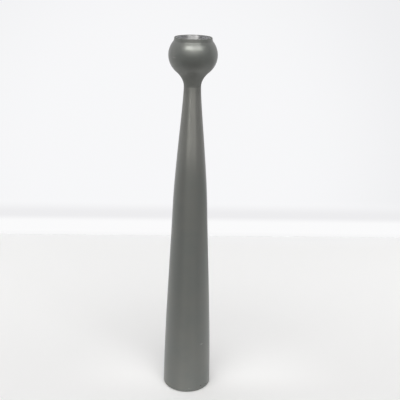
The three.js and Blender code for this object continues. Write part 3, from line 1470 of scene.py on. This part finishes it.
@dataclass
class Foot:
    """What is let into the underside of the column: the steel weight, its screw and the felt pad.

    Attributes:
        shop: The wood and the trees.
        felt: What the pad is made of.
        rolled: What the weight is made of.
        plated: What the screw is made of.
        pad_rounding: The rounding of the felt's edges.
        pad_step: The longest stretch between two points of the pad's outline.
        weight_bevel: The bevel of the weight's edges.
        weight_step: The longest stretch between two points of its outline.
        hole_radius: The radius of the screw's hole in the weight.
        sink_radius: The radius of the hole's mouth, where the screw's head lies.
        sink_depth: The depth at which the hole is at its narrowest.
        sink_rim: The depth of the straight part of the mouth.
        head_rounding: The rounding of the edge of the screw's head.
        head_rim: The height of the head's rim.
        head_cone: The height of the cone under it.
        shank_radius: The radius of the screw's plain shank.
        core_radius: The radius of the screw between its threads.
        thread_radius: The radius of the thread's crest.
        plain_length: The length from the head's face to the thread.
        shank_end: The length over which the shank narrows to the core.
        point_length: The length of the screw's point.
        pitch: The distance from one thread to the next.
        steepness: How narrow the thread's ridge is.
        cross_width: The width of an arm of the cross in the head.
        cross_span: The cross's whole width.
        cross_depth: Its depth.
        cross_slope: How far the arms' sides lean in.
        face_step: The longest stretch between two points of the outline of the head's face.
        shank_step: The same on the head's side and the shank.
        thread_step: The same on the thread.
    """

    shop: Workshop
    felt: Felt = Felt()
    rolled: Steel = Steel(
        name="rolled_steel", slot="mild_steel", colour=(0.24, 0.25, 0.26), roughness=0.5,
        working=Working.ROLLED, stain_colour=(0.15, 0.15, 0.155),
    )
    plated: Steel = Steel(
        name="bright_zinc_plate", slot="zinc_plated_steel", colour=(0.49, 0.50, 0.53), roughness=0.37,
        working=Working.TUMBLED, stain_colour=(0.40, 0.40, 0.45),
    )
    pad_rounding: float = 0.4 * MM
    pad_step: float = 0.8 * MM
    weight_bevel: float = 0.5 * MM
    weight_step: float = 1.0 * MM
    hole_radius: float = 2.3 * MM
    sink_radius: float = 4.3 * MM
    sink_depth: float = 2.55 * MM
    sink_rim: float = 0.55 * MM
    head_rounding: float = 0.1 * MM
    head_rim: float = 0.3 * MM
    head_cone: float = 2.0 * MM
    shank_radius: float = 1.75 * MM
    core_radius: float = 1.35 * MM
    thread_radius: float = 1.97 * MM
    plain_length: float = 9.0 * MM
    shank_end: float = 0.5 * MM
    point_length: float = 5.0 * MM
    pitch: float = 1.8 * MM
    steepness: float = 4.4
    cross_width: float = 0.9 * MM
    cross_span: float = 4.4 * MM
    cross_depth: float = 1.5 * MM
    cross_slope: float = 0.2 * MM
    face_step: float = 0.07 * MM
    shank_step: float = 0.3 * MM
    thread_step: float = 0.12 * MM

    def build(self) -> list[Piece]:
        """Makes the pad, the weight and the screw, and returns them."""
        return [self.pad(), self.weight(), self.screw()]

    def pad(self) -> Piece:
        """Makes the felt pad.

        Returns:
            The pad.
        """
        bottom, top, radius = low("base_pad").z, high("base_pad").z, high("base_pad").x
        outline = Outline(0.0, bottom, self.pad_step)
        outline.corner((radius, bottom), self.pad_rounding, (radius, top))
        outline.corner((radius, top), self.pad_rounding, (0.0, top)).path((0.0, top))
        return seat(self.shop.turned(outline, "base_pad_felt", self.felt, sides=144), "stand", "base_pad")

    def weight(self) -> Piece:
        """Makes the steel disc with its countersunk hole.

        Returns:
            The weight.
        """
        bottom, top, radius = low("base_weight").z, high("base_weight").z, high("base_weight").x
        hole, sink, bevel = self.hole_radius, self.sink_radius, self.weight_bevel
        outline = Outline(hole, top, self.weight_step)
        outline.path((hole, bottom + self.sink_depth), (sink, bottom + self.sink_rim), (sink, bottom))
        outline.path((radius - bevel, bottom), (radius, bottom + bevel), (radius, top - bevel))
        outline.path((radius - bevel, top), (hole, top))
        piece = self.shop.turned(outline, "base_weight_disc", self.rolled, sides=144)
        return seat(piece, "stand", "base_weight")

    def screw(self) -> Piece:
        """Makes the countersunk wood screw.

        Returns:
            The screw.
        """
        face, tip = low("weight_screw").z, high("weight_screw").z
        thread = face + self.plain_length
        piece = self.shop.made(
            self.shop.screw_cutter, self.screw_outline(), "weight_screw_threaded", self.plated,
            sides=96, face_height=face, thread_start=thread, thread_end=tip, run_out=self.pitch,
            point_length=self.point_length, pitch=self.pitch,
            thread_depth=self.thread_radius - self.core_radius, steepness=self.steepness,
            cross_width=self.cross_width, cross_span=self.cross_span,
            cross_depth=self.cross_depth, cross_slope=self.cross_slope,
        )
        return seat(piece, "stand", "weight_screw")

    def screw_outline(self) -> Outline:
        """Draws the screw without its thread, from the middle of its face to its point.

        Returns:
            The outline.
        """
        face, tip, radius = low("weight_screw").z, high("weight_screw").z, high("weight_screw").x
        rim_end = face + self.head_rim
        shank, thread = rim_end + self.head_cone, face + self.plain_length
        outline = Outline(0.0, face, self.face_step)
        outline.path((self.cross_span / 2.0 + self.face_step, face))
        outline.step = self.shank_step
        outline.corner((radius, face), self.head_rounding, (radius, shank)).path((radius, rim_end))
        outline.path((self.shank_radius, shank), (self.shank_radius, thread - self.shank_end))
        outline.step = self.thread_step
        outline.path((self.core_radius, thread), (self.core_radius, tip - self.point_length))
        return outline.path((0.0, tip))


@dataclass(frozen=True)
class PhotoCamera:
    """The camera at the photograph's place and angle.

    Attributes:
        place: Where it stands.
        pitch: How far it looks down, in degrees.
        yaw: How far it is turned to the right, in degrees.
        roll: How far it is tilted, in degrees.
        focal_pixels: Its focal length, in pixels of the photograph.
        frame_pixels: The photograph's width.
        sensor: The sensor's width, in millimetres.
        nearest: The shortest distance at which it sees anything.
    """

    place: Point = (0.0, -0.72865, 0.47671)
    pitch: float = 19.569
    yaw: float = 0.811
    roll: float = 1.436
    focal_pixels: float = 740.71
    frame_pixels: float = 400.0
    sensor: float = 36.0
    nearest: float = 0.01

    def build(self) -> None:
        """Makes the camera the scene's own."""
        pitch, yaw, roll = (math.radians(angle) for angle in (self.pitch, self.yaw, self.roll))
        flat = math.cos(pitch)
        forward = Vector((math.sin(yaw) * flat, math.cos(yaw) * flat, -math.sin(pitch)))
        right = Vector((math.cos(yaw), -math.sin(yaw), 0.0))
        up = right.cross(forward)
        across = math.cos(roll) * right + math.sin(roll) * up
        above = math.cos(roll) * up - math.sin(roll) * right
        turned = Matrix((across, above, -forward)).transposed().to_4x4()
        data = bpy.data.cameras.new("photo_camera")
        data.sensor_width = self.sensor
        data.lens = self.sensor * self.focal_pixels / self.frame_pixels
        data.clip_start = self.nearest
        camera = bpy.data.objects.new("photo_camera", data)
        camera.matrix_world = Matrix.Translation(self.place) @ turned
        bpy.context.scene.collection.objects.link(camera)
        bpy.context.scene.camera = camera


class Shows(Enum):
    """Where the light of a lamp shows."""

    SHADE = "in the shade of a form and its shadow"
    GLOSS = "in a glossy reflection"


@dataclass(frozen=True)
class SoftBox:
    """A lamp with an upright diffuser, turned towards the candlestick's head.

    Attributes:
        name: The lamp's name.
        shows: Where its light shows.
        azimuth: How far to the right of the camera's side it stands, in degrees.
        elevation: How high it stands, in degrees.
        width: The width of its face.
        height: The height of its face.
        level: For shade, the light that it gives to a surface facing it, where 1 lights a colour as it is
            written. For gloss, the brightness of its face, where 1 is white.
        tint: The colour of its light.
        distance: How far it stands from the head.
    """

    name: str
    shows: Shows
    azimuth: float
    elevation: float
    width: float
    height: float
    level: float
    tint: Colour = (1.0, 1.0, 1.0)
    distance: float = 2.5

    def build(self, target: Vector) -> None:
        """Makes the lamp.

        Args:
            target: The point that it faces.
        """
        azimuth, elevation = math.radians(self.azimuth), math.radians(self.elevation)
        flat = math.cos(elevation)
        away = Vector((math.sin(azimuth) * flat, -math.cos(azimuth) * flat, math.sin(elevation)))
        data = bpy.data.lights.new(self.name, "AREA")
        data.shape = "RECTANGLE"
        data.size = self.width
        data.size_y = self.height
        data.color = self.tint
        lamp = bpy.data.objects.new(self.name, data)
        lamp.location = target + away * self.distance
        if self.shows is Shows.SHADE:
            data.energy = self.level * (math.pi * self.distance) ** 2
            lamp.visible_glossy = False
        else:
            data.energy = self.level * math.pi * self.width * self.height
            lamp.visible_diffuse = False
        lamp.rotation_mode = "QUATERNION"
        lamp.rotation_quaternion = away.to_track_quat("Z", "Y")
        bpy.context.scene.collection.objects.link(lamp)


@dataclass(frozen=True)
class Window:
    """A bright patch of the studio that shows in gloss, such as a lamp's wide diffuser.

    Attributes:
        azimuth: How far to the right of the camera's side its middle lies, in degrees.
        elevation: How high its middle lies.
        width: How wide it is, in degrees.
        height: How tall it is.
        level: How bright it is, where 1 is white.
        fade: How far its edge is spread.
    """

    azimuth: float
    elevation: float
    width: float
    height: float
    level: float
    fade: float = 4.0

    def glow(self, nodes: Nodes, azimuth: Socket, elevation: Socket) -> Socket:
        """Gives the window's brightness in a direction.

        Args:
            nodes: The world's tree.
            azimuth: The direction's own azimuth, in degrees.
            elevation: Its elevation.

        Returns:
            The brightness.
        """
        shares = []
        sides = ((azimuth, self.azimuth, self.width), (elevation, self.elevation, self.height))
        for angle, middle, size in sides:
            apart = nodes.math("ABSOLUTE", nodes.math("SUBTRACT", angle, middle))
            shares.append(nodes.between(apart, (size + self.fade) / 2.0, (size - self.fade) / 2.0))
        return nodes.product(*shares, self.level)


@dataclass
class Studio:
    """The floor, the backdrop, the lamps and the world.

    Attributes:
        aim_drop: How far below the lip the lamps are aimed.
        white: The white of the backdrop and of the room.
        room_colour: The colour of the room's dark side.
        room_turn: How far the room's bright side is turned to the left, in degrees.
        side_share: How much of the setting still shows to the sides.
        rear_fade: How far a direction points to the rear where the white begins and would be full.
        side_fade: How far it points away from the camera where the sides' share begins and is full.
        front_painted_shade: The floor's darker colour in front of the candlestick, as painted shade.
        rear_painted_light: Its paler colour behind it, as painted light.
        floor_light_depths: Where the floor goes from that painted shade to that painted light, from the axis
            backwards.
        foot_painted_light: The paler colour painted round and behind the foot, as painted light that thins
            the shadow there.
        foot_light_middle: The middle of that painted light.
        foot_light_reach: The distances at which it has faded and is full.
        foot_light_depths: Where it begins and is full, from the axis backwards.
        floor_end: How far behind the candlestick the floor ends.
        floor_skew: How much further back its far edge lies for each metre to the right.
        floor_reach: How far it goes to the sides and to the front.
        edge_white: The colour along the line where floor and backdrop meet.
        edge_reach: How far that colour reaches on the floor.
        edge_heights: The heights on the backdrop where it has faded and is full.
        table_colour: The floor's colour as it shows in gloss, and as it lights the candlestick.
        table_middle: The middle of the white table that shows so.
        table_reach: The distances at which it has faded and is full.
        table_wide: How much less a distance to the side counts.
        wall_height: The backdrop's height.
        sweep_painted_light: The paler colour painted low down on the flat backdrop, as the painted light of a
            sweep that curves up from the floor.
        sweep_light_heights: The heights at which that painted light begins to fade and has gone.
        backdrop_painted_shade: The darker colour painted on the backdrop towards the sides, as painted shade.
        backdrop_light_middle: The middle of its brighter part, where the painted shade is least: across, and
            its height.
        backdrop_shade_reach: The squares of the distances at which the painted shade begins and is darkest.
        fold_painted_shade: The grey of a soft band painted along the backdrop, as the painted shade of a
            fold.
        fold_lower: The heights at which the fold begins and is full.
        fold_upper: The heights at which it has gone and is still full.
        lamps: The lamps.
        windows: The bright patches that show in gloss.
    """

    aim_drop: float = 17.0 * MM
    white: Colour = (0.930, 0.932, 0.945)
    room_colour: Colour = (0.14, 0.14, 0.135)
    room_turn: float = 38.0
    side_share: float = 0.3
    rear_fade: Span = (0.0, 1.2)
    side_fade: Span = (-0.95, -0.5)
    front_painted_shade: Colour = (0.842, 0.838, 0.836)
    rear_painted_light: Colour = (0.930, 0.928, 0.926)
    floor_light_depths: Span = (-0.08, 0.30)
    foot_painted_light: Colour = (0.965, 0.960, 0.957)
    foot_light_middle: Flat = (0.018, -0.004)
    foot_light_reach: Span = (0.18, 0.02)
    foot_light_depths: Span = (-0.04, 0.02)
    floor_end: float = 0.431
    floor_skew: float = 0.026
    floor_reach: float = 3.0
    edge_white: Colour = (0.935, 0.935, 0.940)
    edge_reach: float = 0.05
    edge_heights: Span = (0.009, 0.0)
    table_colour: Colour = (0.990, 0.987, 0.985)
    table_middle: Flat = (0.06, 0.08)
    table_reach: Span = (0.42, 0.05)
    table_wide: float = 0.4
    wall_height: float = 1.5
    sweep_painted_light: Colour = (0.962, 0.962, 0.968)
    sweep_light_heights: Span = (0.02, 0.07)
    backdrop_painted_shade: Colour = (0.860, 0.862, 0.875)
    backdrop_light_middle: Flat = (-0.05, 0.12)
    backdrop_shade_reach: Span = (0.03, 0.22)
    fold_painted_shade: Colour = (0.850, 0.848, 0.862)
    fold_lower: Span = (0.024, 0.036)
    fold_upper: Span = (0.061, 0.040)
    lamps: tuple[SoftBox, ...] = (
        SoftBox("left_shade", Shows.SHADE, -26.0, 48.0, width=4.2, height=3.0, level=0.36, distance=5.0),
        SoftBox("right_shade", Shows.SHADE, 27.0, 38.0, width=3.2, height=2.6, level=0.29, distance=5.0),
        SoftBox("front_shade", Shows.SHADE, 0.0, 12.0, width=24.0, height=8.0, level=0.34, distance=20.0),
        SoftBox("left_gloss", Shows.GLOSS, -24.5, 46.7, width=1.42, height=0.46, level=14.5, tint=WARM),
        SoftBox("right_gloss", Shows.GLOSS, 26.5, 46.7, width=1.62, height=0.46, level=10.6, tint=WARM),
    )
    windows: tuple[Window, ...] = (
        Window(azimuth=0.0, elevation=24.0, width=84.0, height=26.0, level=0.5),
        Window(azimuth=0.0, elevation=52.0, width=160.0, height=60.0, level=0.25, fade=24.0),
    )

    def build(self) -> None:
        """Makes the whole setting."""
        self.floor()
        self.wall()
        self.world()
        target = Vector((0.0, 0.0, high("bowl").z - self.aim_drop))
        for lamp in self.lamps:
            lamp.build(target)

    def panel(self, name: str, corners: list[Point], material: bpy.types.Material) -> Piece:
        """Makes a flat sheet that isn't part of the object.

        Args:
            name: Its name.
            corners: Its corners, anticlockwise seen from its front.
            material: What it is made of.

        Returns:
            The sheet.
        """
        mesh = bpy.data.meshes.new(name)
        mesh.from_pydata(corners, [], [tuple(range(len(corners)))])
        mesh.materials.append(material)
        sheet = bpy.data.objects.new(name, mesh)
        bpy.context.scene.collection.objects.link(sheet)
        return sheet

    def far_corners(self) -> tuple[Point, Point]:
        """Returns the left and the right end of the line where floor and backdrop meet."""
        side, end, skew = self.floor_reach, self.floor_end, self.floor_skew * self.floor_reach
        return (-side, end - skew, 0.0), (side, end + skew, 0.0)

    def floor(self) -> None:
        """Makes the pale floor, with painted light and shade where the camera sees it, which shows as a white
        table in a dark room in gloss.
        """
        material = bpy.data.materials.new("pale_floor")
        nodes = Nodes.of(material)
        place, unseen = nodes.place(), nodes.unseen()
        moved = nodes.vector_math("SUBTRACT", place, (*self.table_middle, 0.0))
        _, distance = nodes.around(nodes.stretched(moved, (self.table_wide, 1.0, 1.0)))
        table = nodes.between(distance, *self.table_reach)
        near = nodes.math("MAXIMUM", table, self.lit(nodes, nodes.vector_math("NORMALIZE", place)))
        away = nodes.product(unseen, nodes.math("SUBTRACT", 1.0, near))
        colour = nodes.blend(nodes.product(unseen, table), self.floor_colour(nodes, place), self.table_colour)
        shader = nodes.add("ShaderNodeBsdfDiffuse", {"Color": nodes.blend(away, colour, self.room_colour)})
        nodes.add("ShaderNodeOutputMaterial", {"Surface": shader.outputs[0]})
        side, (left, right) = self.floor_reach, self.far_corners()
        self.panel("floor", [(-side, -side, 0.0), (side, -side, 0.0), right, left], material)

    def floor_colour(self, nodes: Nodes, place: Socket) -> Socket:
        """Paints light and shade on the floor that the camera sees.

        Args:
            nodes: The floor's tree.
            place: A point's place on it.

        Returns:
            The colour there.
        """
        depth = nodes.separate(place)[1]
        # Painted light and shade: the floor is darker in front and paler behind.
        colour = nodes.blend(nodes.between(depth, *self.floor_light_depths), self.front_painted_shade, self.rear_painted_light)
        # Painted light round and behind the foot, which makes the shadow there paler.
        _, distance = nodes.around(nodes.vector_math("SUBTRACT", place, (*self.foot_light_middle, 0.0)))
        near, behind = nodes.between(distance, *self.foot_light_reach), nodes.between(depth, *self.foot_light_depths)
        colour = nodes.blend(nodes.product(near, behind), colour, self.foot_painted_light)
        edge = nodes.between(depth, self.floor_end - self.edge_reach, self.floor_end)
        return nodes.blend(edge, colour, self.edge_white)

    def wall(self) -> None:
        """Makes the white backdrop with painted light and shade, which is seen from its front only and gives
        no light.
        """
        material = bpy.data.materials.new("white_backdrop")
        nodes = Nodes.of(material)
        glow = nodes.add("ShaderNodeEmission", {"Color": self.wall_colour(nodes, nodes.place())})
        clear = nodes.add("ShaderNodeBsdfTransparent")
        behind = nodes.add("ShaderNodeNewGeometry").outputs["Backfacing"]
        both = nodes.add("ShaderNodeMixShader", {0: behind, 1: glow.outputs[0], 2: clear.outputs[0]})
        nodes.add("ShaderNodeOutputMaterial", {"Surface": both.outputs[0]})
        left, right = self.far_corners()
        above = [(x, y, self.wall_height) for x, y, _ in (right, left)]
        wall = self.panel("backdrop", [left, right, *above], material)
        wall.visible_diffuse = False
        wall.visible_shadow = False

    def wall_colour(self, nodes: Nodes, place: Socket) -> Socket:
        """Paints light and shade on the backdrop.

        Args:
            nodes: The backdrop's tree.
            place: A point's place on it.

        Returns:
            The colour there.
        """
        across, _, height = nodes.separate(place)
        right, up = (nodes.math("SUBTRACT", *pair) for pair in zip((across, height), self.backdrop_light_middle))
        # Painted shade: the backdrop darkens away from its bright middle.
        shade_share = nodes.between(nodes.squares(right, up), *self.backdrop_shade_reach)
        white = nodes.blend(shade_share, self.white, self.backdrop_painted_shade)
        # Painted light: a paler band low on the backdrop.
        white = nodes.blend(nodes.between(height, *self.sweep_light_heights), self.sweep_painted_light, white)
        white = nodes.blend(nodes.between(height, *self.edge_heights), white, self.edge_white)
        # Painted shade: a soft grey band along the backdrop, where a fold would be.
        fold_shade_share = nodes.product(*(nodes.between(height, *span) for span in (self.fold_lower, self.fold_upper)))
        return nodes.blend(fold_shade_share, white, self.fold_painted_shade)

    def lit(self, nodes: Nodes, direction: Socket) -> Socket:
        """Tells how much of the white setting shows in a direction.

        Args:
            nodes: The tree.
            direction: The direction, with a length of 1.

        Returns:
            1 behind the candlestick, falling to 0 at the camera's side, where the room is dark.
        """
        turn = math.radians(self.room_turn)
        behind = nodes.vector_math("DOT_PRODUCT", direction, (-math.sin(turn), math.cos(turn), 0.0))
        rear = nodes.between(behind, *self.rear_fade, 0.0, 1.0 - self.side_share)
        side = nodes.between(nodes.separate(direction)[1], *self.side_fade, 0.0, self.side_share)
        return nodes.math("ADD", rear, side)

    def world(self) -> None:
        """Makes the room: white behind the candlestick, dark at the camera's side, white to the camera."""
        world = bpy.data.worlds.new("white_room")
        bpy.context.scene.world = world
        nodes = Nodes.of(world)
        room = nodes.unseen()
        direction = nodes.add("ShaderNodeTexCoord").outputs["Generated"]
        front = nodes.product(room, nodes.math("SUBTRACT", 1.0, self.lit(nodes, direction)))
        colour = nodes.blend(front, self.white, self.room_colour)
        x, y, z = nodes.separate(direction)
        turn = nodes.math("ARCTAN2", x, nodes.product(y, -1.0))
        rise = nodes.math("ARCSINE", z)
        azimuth, elevation = (nodes.product(angle, math.degrees(1.0)) for angle in (turn, rise))
        for window in self.windows:
            glow = nodes.product(window.glow(nodes, azimuth, elevation), room)
            warm = nodes.vector_math("MULTIPLY", nodes.combine(glow, glow, glow), WARM)
            colour = nodes.vector_math("ADD", colour, warm)
        light = nodes.add("ShaderNodeBackground", {"Color": colour, "Strength": 1.0})
        nodes.add("ShaderNodeOutputWorld", {"Surface": light.outputs[0]})


def main() -> None:
    """Builds the candlestick's pieces, the studio and the camera."""
    logging.basicConfig(level=logging.INFO, format="%(name)s: %(message)s")
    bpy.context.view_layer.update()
    shop = Workshop()
    for part in (Foot(shop), Column(shop), Head(shop)):
        for piece in part.build():
            piece.data.calc_loop_triangles()
            log.info("%s has %d triangles", piece.name, len(piece.data.loop_triangles))
    Studio().build()
    PhotoCamera().build()
    bpy.context.scene.view_settings.view_transform = "Standard"


if __name__ == "__main__":
    main()
